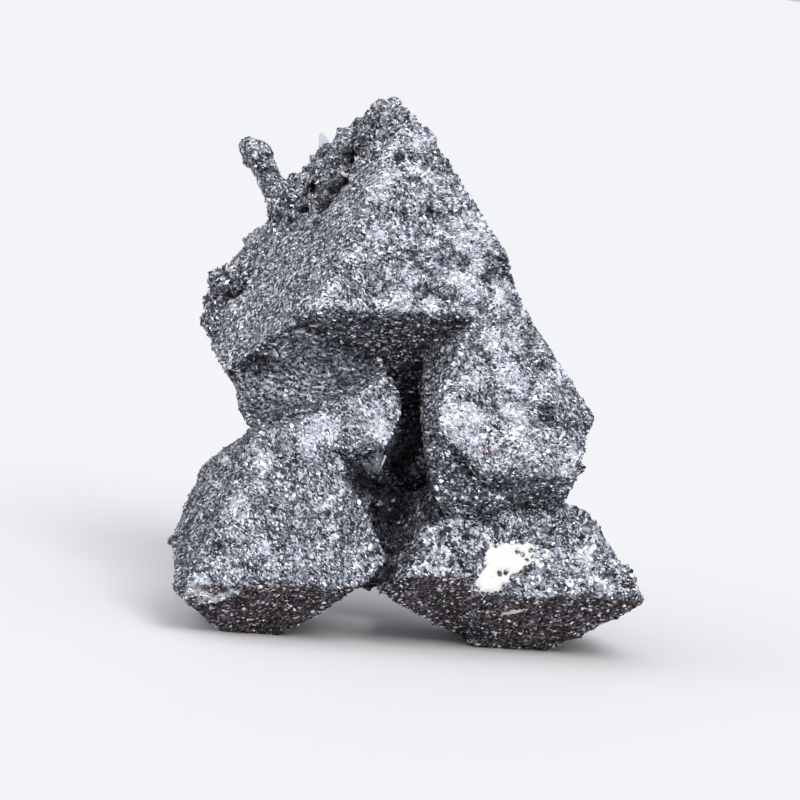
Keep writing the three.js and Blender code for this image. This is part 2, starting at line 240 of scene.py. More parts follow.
# The bowl in the lower half of the hollow. Each row goes down the picture at one place across. It has across,
# top, depth at the top, bottom and depth at the bottom. Depths are in millimetres, towards the camera
BOWL_ROWS = (
    (238, 374, -1.5, 406, 0.5), (252, 370, -1.8, 431, 3.6), (290, 364, -2.2, 425, 4.2),
    (340, 362, -3.2, 403, 1.5), (386, 366, -4.5, 377, -0.8),
)
BOWL_ZONE = (
    (232, 376), (262, 352), (300, 340), (345, 342), (388, 362), (388, 374), (345, 402), (290, 425),
    (250, 432),
)
BOWL_CENTRE = (310, 390)
# How far from its centre the bowl is looked for, in metres
BOWL_REACH = 0.012
# Its floor's curve, its block's depth in millimetres, its points each way, and its soft edge in pixels
BOWL_CURVE = 1.7
BOWL_BURIED = 7
BOWL_GRID = 16
BOWL_SOFT = 9
# The share of the underside's blades that it lacks
BOWL_WITHOUT_BLADES = 0.7
# Growth arcs in the bowl, in pixels, and how much wider than high they are
ARC_MIDDLE = (322, 338)
ARC_STEP = 7.0
ARC_SQUASH = 1.25

# Across, down and radius of the cream crust's lobes, and of the bare dots in it
CREAM_LOBES = (
    (496, 562, 1.4), (508, 559, 1.6), (520, 556, 1.15), (528, 549, 0.7), (491, 580, 1.25),
    (484, 583, 0.95), (502, 577, 0.75), (543, 557, 0.4), (537, 564, 0.36), (547, 551, 0.3),
    (551, 561, 0.26),
)
CREAM_BARE = (
    (517, 553, 0.14), (521, 555, 0.16), (526, 561, 0.2), (531, 551, 0.17), (499, 574, 0.16),
    (505, 573, 0.14),
)
# The sheet that it is cut from: its middle, and in millimetres half its width, the height that it is laid
# down from, its rounded edge and its wall. Then its points each way, its ragged outline and its fine lumps
CREAM_MIDDLE = (514, 566)
CREAM_HALF = 4
CREAM_START = 3
CREAM_EDGE = 0.35
CREAM_WALL = 0.4
CREAM_GRID = 90
CREAM_SWAYS = ((0.16, 2.2), (0.1, 6))
CREAM_FINE = (0.05, 3.5)
# The two ends of the pale lens, and half its width and thickness
PALE_LENS = ((499, 610), (529, 612))
LENS_HALVES = (0.3, 0.22)
LENS_COLOUR = (0.66, 0.55, 0.58, 1)
# The clear blade's foot, its halves, its middle's height over the foot, its tip and its two top slopes
CLEAR_BLADE = (324, 151)
BLADE_HALVES = (0.45, 1.15, 0.24)
BLADE_RISE = 0.65
BLADE_TIP = (-0.15, 1.75)
BLADE_SLOPES = ((1.0, 0.9), (-0.9, 1.2))
BLADE_BEVEL = 0.09
# Across, down, half length, width as a share of the length, and turn in the picture in degrees
BRIGHT_CRYSTALS = (
    (226, 460, 0.35, 0.9, 25), (345, 174, 0.4, 0.4, -5), (443, 350, 0.26, 0.5, 60),
    (449, 349, 0.28, 0.55, 60), (415, 484, 0.17, 0.5, 70), (418, 476, 0.2, 0.5, 60),
    (400, 432, 0.16, 0.6, 40), (370, 515, 0.24, 0.9, 10), (390, 510, 0.16, 0.6, 0),
    (457, 532, 0.22, 0.6, -60), (472, 530, 0.25, 0.6, 80), (512, 543, 0.22, 0.7, 0),
    (530, 517, 0.35, 0.3, -20), (574, 541, 0.25, 0.6, -40), (584, 558, 0.33, 0.7, -50),
    (592, 540, 0.26, 0.7, 40), (382, 463, 0.75, 0.35, -12), (365, 451, 0.35, 0.12, -2),
    (314, 325, 0.35, 0.3, 5), (300, 331, 0.45, 0.25, 5), (284, 353, 0.25, 0.4, 0),
    (275, 352, 0.2, 0.4, 0), (350, 319, 0.2, 0.5, 0), (318, 388, 0.55, 0.2, -8),
    (379, 360, 0.25, 0.7, 20), (373, 349, 0.2, 0.6, 60), (366, 344, 0.18, 0.6, 10),
    (381, 366, 0.18, 0.6, 70),
)
BRIGHT_HALF = 0.18
BRIGHT_BEVEL = 0.04
# The two ends of each needle, and half a needle's width and thickness
NEEDLES = (
    ((371, 183), (389, 184)), ((374, 188), (390, 188)), ((359, 221), (354, 230)), ((356, 217), (361, 209)),
)
NEEDLE_HALVES = (0.03, 0.12)

# Crystals per square millimetre, and the power that makes small sizes commoner than large ones
FACET_DENSITY = 4.5
FACETS_ELSEWHERE = 0.12
FLAKE_DENSITY = 0.7
BLADE_DENSITY = 10.0
GLINT_DENSITY = 2.6
DRUSE_DENSITY = 9.0
SMALL_SIZES = 2.2

# The lights' bearings, rises and widths in degrees, and the floor's radius in metres
KEY_PLACE = (25, 52, 40)
FILL_PLACE = (-60, 42, 60)
FLOOR_RADIUS = 6


def face_direction(bearing, rise):
    """A direction that is fixed to the crystals, as it stands once they lean."""
    b, r = math.radians(TURN + bearing), math.radians(rise)
    upright = Vector((math.sin(b) * math.cos(r), -math.cos(b) * math.cos(r), math.sin(r)))
    return LEANING @ upright


FRONT = face_direction(0, FACE_RISE)
LEFT = face_direction(-90, FACE_RISE)
UNDER = face_direction(0, -FACE_RISE)
UPRIGHT = LEANING @ Vector((0, 0, 1))
LEVEL = UPRIGHT.cross(FRONT).normalized()
DOWN_UNDER = UNDER.cross(LEVEL).normalized()
DOWN_FRONT = FRONT.cross(LEVEL).normalized()
# Sets a second pattern apart from the first one
ASIDE = Vector((50, 0, 0))


def smooth_step(low, high, value):
    t = min(1.0, max(0.0, (value - low) / (high - low)))
    return t * t * (3 - 2 * t)


def sway(p, reach, rate):
    """A soft chance value at a point in millimetres, up to the reach either way."""
    return reach * noise.noise(p * rate)


def turned_to(facing, direction, span):
    """How far a surface counts as turned to a direction, from 0 to 1."""
    return smooth_step(*span, facing.dot(direction))


def risen(height):
    """0 in the rough surface's low places, and 1 on its high ones."""
    return smooth_step(-LEVEL_SPAN, LEVEL_SPAN, height)


# Sizes and colours


def length_value(name, description, default):
    return bpy.props.FloatProperty(name=name, description=description, default=default, unit="LENGTH")


def plain_value(name, description, default):
    return bpy.props.FloatProperty(name=name, description=description, default=default)


def colour_value(name, description, default):
    return bpy.props.FloatVectorProperty(
        name=name, description=description, default=default, size=len(default), subtype="COLOR"
    )


class StoneSettings(bpy.types.PropertyGroup):
    grid: length_value("Surface grid", "Spacing of the rough surface's points", 0.00025)
    lumps: length_value("Lumps", "Height of the broad lumps", 0.00022)
    plates: length_value("Plates", "Height of the growth plates", 0.00026)
    ledges: length_value("Ledges", "Depth of the fine level ledges on the undersides", 0.00014)
    knobs: length_value("Knobs", "Height of the rounded knobs of the top crust", 0.0006)
    pits: length_value("Pits", "Depth of the dark pits in the top crust", 0.0008)
    front_tint: colour_value("Front tint", "Cool grey of the bright front faces", (0.93, 0.955, 1.03))
    side_tint: colour_value(
        "Side tint", "Dull purplish grey of the left, right and rear faces", (0.96, 0.955, 1.03)
    )
    # Painted shade: the undersides' tint darkens faces that turn down, away from the light
    underside_painted_shade: colour_value("Underside tint", "Dark grey of the undersides", (0.42, 0.425, 0.49))
    # Painted shade in the hollow's bowl
    bowl_painted_shade: colour_value("Bowl tint", "Middle grey of the bowl in the hollow", (0.66, 0.665, 0.74))
    # Painted shade under the feet, with a painted brown reflection
    foot_painted_shade_and_reflection: colour_value("Foot tint", "Brownish black under the feet", (0.26, 0.2, 0.22))
    plate_tint: colour_value("Plate tint", "Smooth grey of the plates on the front", (0.62, 0.62, 0.72))
    rose_tint: colour_value("Rose tint", "Faint pink stain on the brightest facet", (1.0, 0.72, 0.66))


class CrystalSettings(bpy.types.PropertyGroup):
    size: length_value("Size", "Half the width of a usual small crystal", 0.00014)
    front_density: plain_value("Front density", "Small crystals per square millimetre of front face", 22.0)
    side_density: plain_value("Left density", "Small crystals per square millimetre of left face", 11.0)
    rear_density: plain_value("Rear density", "Small crystals per square millimetre of other faces", 5.0)
    seed: bpy.props.IntProperty(name="Seed", description="Arrangement of the crystals", default=5)


class PatchSettings(bpy.types.PropertyGroup):
    thickness: length_value("Thickness", "How far the cream crust stands out", 0.0003)
    colour: colour_value("Colour", "Cream of the crust", (0.9, 0.87, 0.85, 1))


class StageSettings(bpy.types.PropertyGroup):
    floor_colour: colour_value("Floor", "Pale floor", (0.77, 0.77, 0.78, 1))
    key: plain_value("Key light", "Strength of the main soft light", 1.7)
    fill: plain_value("Fill light", "Strength of the weaker soft light", 0.9)
    sky: plain_value("Room light", "Strength of the light all round", 0.62)


# Shared helpers


def mesh_object(name, mesh, material):
    piece = bpy.data.objects.new(name, mesh)
    bpy.context.scene.collection.objects.link(piece)
    mesh.materials.clear()
    mesh.materials.append(material)
    return piece


def mesh_of(name, made):
    """A bmesh, used up and turned into a mesh."""
    mesh = bpy.data.meshes.new(name)
    made.to_mesh(mesh)
    made.free()
    return mesh


def bmesh_object(name, made, material):
    return mesh_object(name, mesh_of(name, made), material)


def ride_as_trim(piece):
    keep_in_box(piece.data)
    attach(piece, BODY)


def settle(piece):
    """Turns a piece's modifiers into its mesh, and returns the mesh."""
    graph = bpy.context.evaluated_depsgraph_get()
    graph.update()
    made = bpy.data.meshes.new_from_object(piece.evaluated_get(graph), depsgraph=graph)
    piece.modifiers.clear()
    piece.data = made
    return made


def keep_in_box(mesh):
    """Holds a mesh inside the solid model's box."""
    low, high = cad_box
    for vertex in mesh.vertices:
        vertex.co = [min(max(c, a), b) for c, a, b in zip(vertex.co, low, high)]


def sight():
    """The camera's right, up and backward directions, and its place."""
    back = Vector((0, -math.cos(SIGHT_RISE), math.sin(SIGHT_RISE)))
    level_up = Vector((0, math.sin(SIGHT_RISE), math.cos(SIGHT_RISE)))
    across = Vector((1, 0, 0))
    right = across * math.cos(SIGHT_ROLL) + level_up * math.sin(SIGHT_ROLL)
    up = level_up * math.cos(SIGHT_ROLL) - across * math.sin(SIGHT_ROLL)
    return right, up, back, SIGHT_POINT + back * SIGHT_DISTANCE


def axes_to_matrix(along, across, out):
    return Matrix((along, across, out)).transposed().to_4x4()


def pixel_ray(x, y):
    """The camera's place, and the way from it to a pixel of the picture."""
    right, up, back, camera = sight()
    return camera, right * (x - PICTURE / 2) / FOCAL + up * (PICTURE / 2 - y) / FOCAL - back


def seen_at(x, y, depth):
    """The point behind a pixel of the picture, at a depth towards the camera from its sight point."""
    camera, ray = pixel_ray(x, y)
    return camera + ray * (SIGHT_DISTANCE - depth)


def tree_of(piece):
    """The faces of a piece, ready for finding points on them."""
    loose = bmesh.new()
    loose.from_mesh(piece.data)
    tree = BVHTree.FromBMesh(loose)
    loose.free()
    return tree


def place_seen(tree, x, y):
    """The stone's point at or nearest to a pixel of the picture, and the direction that it faces."""
    camera, ray = pixel_ray(x, y)
    point, facing, _, _ = tree.ray_cast(camera, ray.normalized())
    if point is None:
        along = [camera + ray * (SIGHT_DISTANCE + step * MM) for step in range(-SEARCH, SEARCH + 1)]
        point, facing, _, _ = min((tree.find_nearest(p) for p in along), key=lambda found: found[3])
    return point, facing


def balls_at(tree, places):
    """Centre and radius of the balls round places of the picture, and their strength if it is given."""
    return [(place_seen(tree, x, y)[0], radius * MM, *strength) for x, y, radius, *strength in places]


def closeness(place, balls):
    """How much of the balls' strengths a point gets: all of it near a centre, none past the radius."""
    total = 0.0
    for centre, radius, share in balls:
        distance = (place - centre).length
        if distance < radius:
            total += share * (1 - smooth_step(0.5 * radius, radius, distance))
    return total


def zone_share(x, y, outline, soft):
    """1 well inside a convex outline in the picture, falling to 0 at its edge."""
    nearest = soft
    for (x1, y1), (x2, y2) in zip(outline, outline[1:] + outline[:1]):
        side = (x2 - x1) * (y - y1) - (y2 - y1) * (x - x1)
        nearest = min(nearest, side / math.hypot(x2 - x1, y2 - y1))
    return smooth_step(0, soft, nearest)


def bowl_row(x):
    """Top, depth at the top, bottom and depth at the bottom of the bowl at a place across the picture."""
    for low, high in zip(BOWL_ROWS, BOWL_ROWS[1:]):
        if low[0] <= x <= high[0]:
            share = (x - low[0]) / (high[0] - low[0])
            return [a + (b - a) * share for a, b in zip(low[1:], high[1:])]
    return None


def bowl_depth(x, y):
    """Depth of the bowl's floor behind a pixel in metres, or None where there is no bowl."""
    row = bowl_row(x)
    if row is None or not row[0] <= y <= row[2]:
        return None
    top, back, bottom, lip = row
    return (back + (lip - back) * ((y - top) / (bottom - top)) ** BOWL_CURVE) * MM


# Materials


def new_material(name):
    material = bpy.data.materials.new(name)
    material.use_nodes = True
    nodes, links = material.node_tree.nodes, material.node_tree.links
    return material, nodes, links, nodes["Principled BSDF"]


def add(nodes, kind, **values):
    node = nodes.new(kind)
    for name, value in values.items():
        if name in node.inputs:
            node.inputs[name].default_value = value
        else:
            setattr(node, name, value)
    return node


def give(links, socket, value):
    """Sets a socket to a value, or feeds it from an output."""
    if isinstance(value, bpy.types.NodeSocket):
        links.new(value, socket)
    else:
        socket.default_value = value


def fed(links, node, *values):
    """Gives a node's sockets, in order, what they need, and returns its first output."""
    for socket, value in zip(node.inputs, values):
        give(links, socket, value)
    return node.outputs[0]


def dress(links, surface, values):
    """Gives the named sockets of a finish what they need."""
    for name, value in values.items():
        give(links, surface.inputs[name], value)


def pattern(nodes, links, kind, **values):
    """A texture that stays fixed to its piece."""
    texture = add(nodes, kind, **values)
    links.new(nodes.new("ShaderNodeTexCoord").outputs["Object"], texture.inputs["Vector"])
    return texture


def clouds(nodes, links, **values):
    return pattern(nodes, links, "ShaderNodeTexNoise", **values).outputs["Fac"]


def attribute(nodes, name, output="Fac"):
    return add(nodes, "ShaderNodeAttribute", attribute_name=name).outputs[output]


def multiply_add(nodes, links, *values):
    """The first value times the second, plus the third."""
    return fed(links, add(nodes, "ShaderNodeMath", operation="MULTIPLY_ADD"), *values)


def vector_math(nodes, links, operation, *values):
    return fed(links, add(nodes, "ShaderNodeVectorMath", operation=operation), *values)


def cool(shade):
    """A shade of the stone: bluish where it is dark and white where it is light."""
    light = min(1.0, shade)
    return shade * (0.8 + 0.2 * light), shade * (0.86 + 0.14 * light), shade, 1


def grey(shade):
    return shade, shade, shade, 1


def ramp(nodes, links, value, stops, colour=grey):
    node = nodes.new("ShaderNodeValToRGB")
    elements = node.color_ramp.elements
    while len(elements) < len(stops):
        elements.new(0.5)
    for element, (at, shade) in zip(elements, stops):
        element.position = at
        element.color = colour(shade)
    links.new(value, node.inputs["Fac"])
    return node.outputs["Color"]


def times(nodes, links, *colours):
    """The product of two colours."""
    mix = add(nodes, "ShaderNodeMix", data_type="RGBA", blend_type="MULTIPLY")
    mix.inputs["Factor"].default_value = 1.0
    for socket, value in zip(mix.inputs[6:8], colours):
        give(links, socket, value)
    return mix.outputs[2]


def ragged_painted_sparkle(nodes, links):
    """How white the painted sparkle makes a place: its stored painted highlights, and ragged patches that
    follow them.
    """
    painted_sparkle = attribute(nodes, "painted_sparkle")
    cloudy = clouds(nodes, links, Scale=820.0, Detail=6.0, Roughness=0.68)
    swayed = multiply_add(nodes, links, painted_sparkle, 0.42, cloudy)
    patches = ramp(nodes, links, swayed, [(0.54, -0.06), (0.64, 0.36)])
    return multiply_add(nodes, links, painted_sparkle, 0.6, patches)


def toned(nodes, links, chance, stops, painted_sparkle_share):
    """A chance shade, made whiter by painted sparkle and coloured by the tint of the place, which holds
    painted shade.
    """
    moved = multiply_add(nodes, links, ragged_painted_sparkle(nodes, links), painted_sparkle_share, chance)
    return times(nodes, links, ramp(nodes, links, moved, stops, cool), attribute(nodes, "tint", "Color"))


def tilted_normal(nodes, links, colour, amount):
    """The surface's own direction, tilted a little differently in each fleck."""
    centred = vector_math(nodes, links, "SUBTRACT", colour, (0.5, 0.5, 0.5))
    scaled = add(nodes, "ShaderNodeVectorMath", operation="SCALE")
    scaled.inputs["Scale"].default_value = amount
    links.new(centred, scaled.inputs[0])
    surface = nodes.new("ShaderNodeNewGeometry").outputs["Normal"]
    return vector_math(
        nodes, links, "NORMALIZE", vector_math(nodes, links, "ADD", surface, scaled.outputs["Vector"])
    )


def stone_material():
    """Metallic ground with a fleck in every fifth of a millimetre, each of its own shade and tilt; the
    lightest shades paint glints.
    """
    material, nodes, links, surface = new_material("hematite_ground")
    flecks = pattern(nodes, links, "ShaderNodeTexVoronoi", Scale=5000.0, Randomness=1.0).outputs["Color"]
    chance = nodes.new("ShaderNodeSeparateColor")
    links.new(flecks, chance.inputs["Color"])
    stops = [(0.05, 0.025), (0.35, 0.11), (0.6, 0.3), (0.85, 0.68), (1.0, 0.92)]
    shade = toned(nodes, links, chance.outputs["Red"], stops, 0.6)
    broad = clouds(nodes, links, Scale=1500.0, Detail=4.0, Roughness=0.65)
    dress(links, surface, {
        "Base Color": times(nodes, links, shade, ramp(nodes, links, broad, [(0.35, 0.6), (0.6, 1.0)])),
        "Metallic": 0.6,
        "Roughness": ramp(nodes, links, chance.outputs["Green"], [(0.0, 0.3), (1.0, 0.6)]),
        "Normal": tilted_normal(nodes, links, flecks, 0.8),
    })
    return material


def crystal_material(name, stops, roughness, metallic, painted_sparkle_share):
    """Small crystals, each with a shade of its own by chance; the lightest shades are painted glints."""
    material, nodes, links, surface = new_material(name)
    grain = clouds(nodes, links, Scale=9000.0, Detail=2.0)
    dress(links, surface, {
        "Base Color": toned(nodes, links, attribute(nodes, "shade"), stops, painted_sparkle_share),
        "Metallic": metallic,
        "Roughness": ramp(nodes, links, grain, [(0.3, roughness * 0.7), (0.7, roughness * 1.3)]),
    })
    return material


def glint_material():
    """Clean facets that keep their white on dark ground."""
    material, nodes, links, surface = new_material("hematite_glints")
    chance = attribute(nodes, "shade")
    dress(links, surface, {
        "Base Color": ramp(nodes, links, chance, [(0.0, 0.2), (0.5, 0.7), (1.0, 1.0)], cool),
        "Metallic": 0.35,
        "Roughness": ramp(nodes, links, chance, [(0.0, 0.4), (1.0, 0.2)]),
    })
    return material


def bright_material(name, shade, roughness):
    """Clean bright facets and needles, faintly clouded; their light base colour is a painted glint."""
    material, nodes, links, surface = new_material(name)
    cloudy = clouds(nodes, links, Scale=2600.0, Detail=3.0)
    dress(links, surface, {
        "Base Color": ramp(nodes, links, cloudy, [(0.35, shade * 0.75), (0.65, shade)]),
        "Metallic": 0.35,
        "Roughness": roughness,
    })
    return material


def cream_material(name, colour):
    """Matt powder with a fine mottle."""
    material, nodes, links, surface = new_material(name)
    mottle = clouds(nodes, links, Scale=5200.0, Detail=4.0, Roughness=0.7)
    tone = ramp(nodes, links, mottle, [(0.3, 0.86), (0.6, 1.0)])
    dress(links, surface, {
        "Base Color": times(nodes, links, colour, tone),
        "Roughness": ramp(nodes, links, mottle, [(0.3, 0.95), (0.7, 0.7)]),
    })
    return material


def clear_material():
    """See-through crystal with slightly worn faces."""
    material, nodes, links, surface = new_material("clear_crystal")
    wear = clouds(nodes, links, Scale=3000.0, Detail=3.0)
    dress(links, surface, {
        "Base Color": (0.72, 0.77, 0.84, 1),
        "Roughness": ramp(nodes, links, wear, [(0.4, 0.02), (0.7, 0.2)]),
        "Transmission Weight": 1.0,
        "IOR": 1.54,
    })
    return material


# The stone's surface


def plate_height(place, size, down):
    """Height of a growth plate at a point, about 0 to 1. It rises to its lower edge, as a shingle does."""
    _, centres = noise.voronoi(place / size)
    chance = PLATE_CHANCE * noise.noise(centres[0] * PLATES_APART)
    return 0.5 + chance + PLATE_SLOPE * (place / size - centres[0]).dot(down)


def knob_height(place, size):
    """Height of rounded knobs packed side by side, from 0 between them to 1 on their tops."""
    distances, _ = noise.voronoi(place / size)
    return math.sqrt(max(0.0, 1 - (distances[0] / KNOB_SPREAD) ** 2))


class Surface:
    """Where the stone's crust, pits, painted sparkle, painted shade and stains lie, found on the solid model.
    """

    def __init__(self, settings):
        tree = tree_of(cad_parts[STONE])
        self.settings = settings
        self.tree = tree
        self.right, self.up, self.back, self.camera = sight()
        self.crust = balls_at(tree, [(x, y, CRUST_REACH, 1.0) for x, y in CRUST_LINE])
        self.crust += balls_at(tree, [(x, y, NODULE_REACH * radius, 1.0) for x, y, radius in NODULE_KNOBS])
        self.light = balls_at(tree, [(*patch, 1.0) for patch in LIGHT_PATCHES])
        self.pits = balls_at(tree, PITS)
        self.painted_sparkle = balls_at(tree, PAINTED_SPARKLE_SPOTS)
        self.rose = balls_at(tree, [ROSE_SPOT])
        self.painted_shade_spots = balls_at(tree, PAINTED_SHADE_SPOTS)
        self.plates = balls_at(tree, GREY_PLATES)
        self.cream = balls_at(tree, CREAM_LOBES)
        self.bowl_centre = seen_at(*BOWL_CENTRE, 0)

    def seen(self, place):
        """The pixel that a point is seen at, and its depth towards the camera from the sight point."""
        away = place - self.camera
        distance = -away.dot(self.back)
        focal = FOCAL / distance
        x = PICTURE / 2 + focal * away.dot(self.right)
        y = PICTURE / 2 - focal * away.dot(self.up)
        return x, y, SIGHT_DISTANCE - distance

    def in_bowl(self, place):
        """1 in the hollow's bowl and 0 away from it, and the height within the growth arc there."""
        if (place - self.bowl_centre).length > BOWL_REACH:
            return 0.0, 0.5
        x, y, _ = self.seen(place)
        ring = math.hypot(x - ARC_MIDDLE[0], ARC_SQUASH * (y - ARC_MIDDLE[1])) / ARC_STEP
        ring += sway(place / MM, *ARC_SWAY)
        return zone_share(x, y, BOWL_ZONE, BOWL_SOFT), ring % 1

    def carved(self, place):
        """A point of the stone, moved back to the bowl's floor if it stands in front of that."""
        if (place - self.bowl_centre).length > BOWL_REACH:
            return place
        x, y, depth = self.seen(place)
        floor = bowl_depth(x, y)
        return place if floor is None or depth < floor else seen_at(x, y, floor)

    def knobs(self):
        """Centre and radius of each rounded knob of the crust, held inside the solid's box."""
        chance = random.Random(KNOB_SEED)
        chosen = list(STALK_KNOBS + NODULE_KNOBS)
        for _ in range(CRUST_KNOBS):
            start, end = sorted(chance.sample(range(len(CRUST_LINE)), 2))
            share = chance.random()
            x, y = [a * (1 - share) + b * share for a, b in zip(CRUST_LINE[start], CRUST_LINE[end])]
            x += chance.uniform(*CRUST_ASIDE)
            y += chance.uniform(*CRUST_DOWN)
            chosen.append((x, y, chance.uniform(*CRUST_RADII)))
        made = []
        for x, y, radius in chosen:
            centre = place_seen(self.tree, x, y)[0] - self.back * radius * MM * KNOB_SUNK
            reach = radius * MM + KNOB_MARGIN
            held = [min(max(c, a + reach), b - reach) for c, a, b in zip(centre, *cad_box)]
            made.append((Vector(held), radius * MM))
        return made

    def relief(self, place, facing):
        """How far the rough surface stands out at a point of the solid, in metres."""
        settings = self.settings
        p = place / MM
        under = turned_to(facing, UNDER, UNDER_RELIEF_SPAN)
        front = turned_to(facing, FRONT, FRONT_RELIEF_SPAN)
        bowl, arc = self.in_bowl(place)
        height = sway(p, settings.lumps, LUMP_RATE)
        wide = settings.plates * (SIDE_PLATES + (1 - SIDE_PLATES) * front)
        height += wide * (plate_height(p, WIDE_PLATE, DOWN_FRONT) - 0.5)
        narrow = plate_height(p + ASIDE, NARROW_PLATE, DOWN_FRONT) - 0.5
        height += settings.plates * NARROW_PLATES * narrow
        rough = min(1.0, self.level_share(place, facing) + BUMPS_LEAST)
        bumps = smooth_step(*BUMP_PATCHES, noise.noise(p * BUMP_RATE)) * rough
        height += settings.plates * BUMPS * bumps * knob_height(p + ASIDE, BUMP)
        steps = p.dot(DOWN_FRONT) / FRONT_STEP + sway(p, *STEP_SWAY)
        height += settings.plates * FRONT_STEPS * front * ((steps % 1) - 0.5)
        height += settings.ledges * BOWL_ARCS * bowl * (arc - 0.5)
        run = p.dot(DOWN_UNDER) / UNDER_LEDGE + sway(p, *LEDGE_SWAY)
        height += settings.ledges * under * (1 - bowl) * (abs((run % 1) - 0.5) * 2 - 0.5)
        crust = min(1.0, closeness(place, self.crust))
        lump = knob_height(p, CRUST_LUMP) + CRUST_GRAINS * knob_height(p, CRUST_GRAIN)
        height += settings.knobs * crust * (lump - CRUST_MIDDLE)
        return height - settings.pits * min(1.0, closeness(place, self.pits))

    def tint(self, place, facing, height):
        """The colour of a place: its face's own, with painted shade on the undersides, in the bowl, low
        places, pits, the cleft and under the arch, painted light on high places, and a darker crust.
        """
        settings = self.settings
        front = Vector(settings.front_tint)
        shade = Vector(settings.side_tint).lerp(front, turned_to(facing, FRONT, FRONT_SPAN))
        # Painted shade on the undersides, and under the feet painted shade with a painted brown reflection
        brown = smooth_step(*FOOT_BROWN, place.z)
        dark = Vector(settings.underside_painted_shade).lerp(Vector(settings.foot_painted_shade_and_reflection), brown)
        shade = shade.lerp(dark, turned_to(facing, UNDER, UNDER_SPAN))
        # Painted shade in the hollow's bowl
        shade = shade.lerp(Vector(settings.bowl_painted_shade), self.in_bowl(place)[0])
        # Painted light: the light patches take the front's tint in place of the underside's painted shade
        shade = shade.lerp(front, LIGHT_SHARE * min(1.0, closeness(place, self.light)))
        if self.on_plate(place):
            shade = Vector(settings.plate_tint)
        # Painted shade on the right crystal's left wall in the cleft
        if facing.dot(LEFT) > LEFT_ENOUGH and place.x > CLEFT_WALL_FROM:
            shade *= CLEFT_WALL_PAINTED_SHADE
        # Painted shade on the left foot's left side
        if facing.dot(LEFT) > LEFT_ENOUGH and place.z < FOOT_SIDE_TOP:
            shade *= FOOT_SIDE_PAINTED_SHADE
        # Painted shade in low places of the relief, painted light on high ones
        shade *= 1 + LEVEL_PAINTED_LIGHT_AND_SHADE * self.level_share(place, facing) * (risen(height) - LEVEL_MIDDLE)
        shade = shade.lerp(Vector(settings.rose_tint), min(1.0, closeness(place, self.rose)))
        shade *= 1 - CRUST_SHADE * min(1.0, closeness(place, self.crust))
        # Painted shade in the cleft, under the arch and below the feet
        shade *= 1 - min(PAINTED_SHADE_MOST, closeness(place, self.painted_shade_spots))
        # Painted shade in the pits
        return shade * (1 - PIT_PAINTED_SHADE * min(1.0, closeness(place, self.pits)))

    def whiteness(self, place, facing, height):
        """Painted sparkle: how much whiter than its face a place is, or greyer where it is below nought."""
        p = place / MM
        front = turned_to(facing, FRONT, FRONT_SPAN)
        clouded = sway(p, *BROAD_CLOUDS) + sway(p, *FINE_CLOUDS)
        bowl, arc = self.in_bowl(place)
        # Painted light on front faces, and painted sparkle that varies by chance
        white = FRONT_PAINTED_LIGHT * front + (SIDE_LEVELS + (1 - SIDE_LEVELS) * front) * clouded
        # Painted sparkle spots, and the painted light patches
        white += closeness(place, self.painted_sparkle + self.light)
        # Painted light on high places of the relief, painted shade in low ones
        white += LEVEL_PAINTED_SPARKLE * self.level_share(place, facing) * (risen(height) - 0.5)
        # Painted light and shade across the bowl's growth arcs
        return white + bowl * (ARC_PAINTED_LIGHT_AND_SHADE * arc - ARC_PAINTED_LIGHT_AND_SHADE / 2)

    def way(self, place, facing):
        """The direction in which the long grains lie."""
        if self.in_bowl(place)[0] > 0.5:
            x, y, _ = self.seen(place)
            return self.right * (y - ARC_MIDDLE[1]) + self.up * (x - ARC_MIDDLE[0])
        if facing.dot(UNDER) > LYING_ENOUGH:
            return LEVEL
        if facing.dot(LEFT) > LYING_ENOUGH:
            angle = GRAINS_ON_LEFT
        elif place.x < FOOT_GRAINS_RIGHT and place.z < FOOT_GRAINS_TOP:
            angle = GRAINS_ON_FOOT
        else:
            angle = GRAINS_ON_REST + sway(place / MM, *GRAIN_SWAY)
        return self.right * math.cos(math.radians(angle)) + self.up * math.sin(math.radians(angle))

    def on_plate(self, place):
        """Whether a point lies on one of the grey plates, whose edges are uneven."""
        p = place / MM
        stretch = 1 + sum(sway(p, *chance) for chance in PLATE_SWAYS)
        return any((place - centre).length < radius * stretch for centre, radius in self.plates)

    def bare(self, place):
        """1 where crystals may grow, less on the grey plates, and 0 under the cream crust."""
        if any((place - centre).length < radius for centre, radius in self.cream):
            return 0.0
        return PLATE_CRYSTALS if self.on_plate(place) else 1.0

    def level_share(self, place, facing):
        """How strongly low places get painted shade and high places painted light: less on the sides and on
        the left foot, which are smoother.
        """
        front = turned_to(facing, FRONT, FRONT_SPAN)
        left_foot = smooth_step(*LEFT_FOOT_TOP, place.z) * smooth_step(*LEFT_FOOT_RIGHT, place.x)
        return (SIDE_LEVELS + (1 - SIDE_LEVELS) * front) * (1 - LEFT_FOOT_CALM * left_foot)

    def coarse(self, place, facing):
        """Where large facets stand among the small crystals: mostly on the front of the right foot."""
        foot = smooth_step(*RIGHT_FOOT_TOP, place.z) * smooth_step(*RIGHT_FOOT_LEFT, place.x)
        return turned_to(facing, FRONT, FRONT_SPAN) * (FACETS_ELSEWHERE + (1 - FACETS_ELSEWHERE) * foot)

    def sides(self, place, facing):
        """How far a point belongs to the front, the left, the undersides and the rest of the stone."""
        bowl, _ = self.in_bowl(place)
        front = turned_to(facing, FRONT, FRONT_SPAN) * (1 - bowl)
        left = max(bowl, turned_to(facing, LEFT, LEFT_SPAN))
        under = turned_to(facing, UNDER, UNDER_SPAN) * (1 - BOWL_WITHOUT_BLADES * bowl)
        return front, left, under, max(0.0, 1 - front - left - under)


def store(mesh, name, values):
    mesh.attributes.new(name, "FLOAT", "POINT").data.foreach_set("value", values)


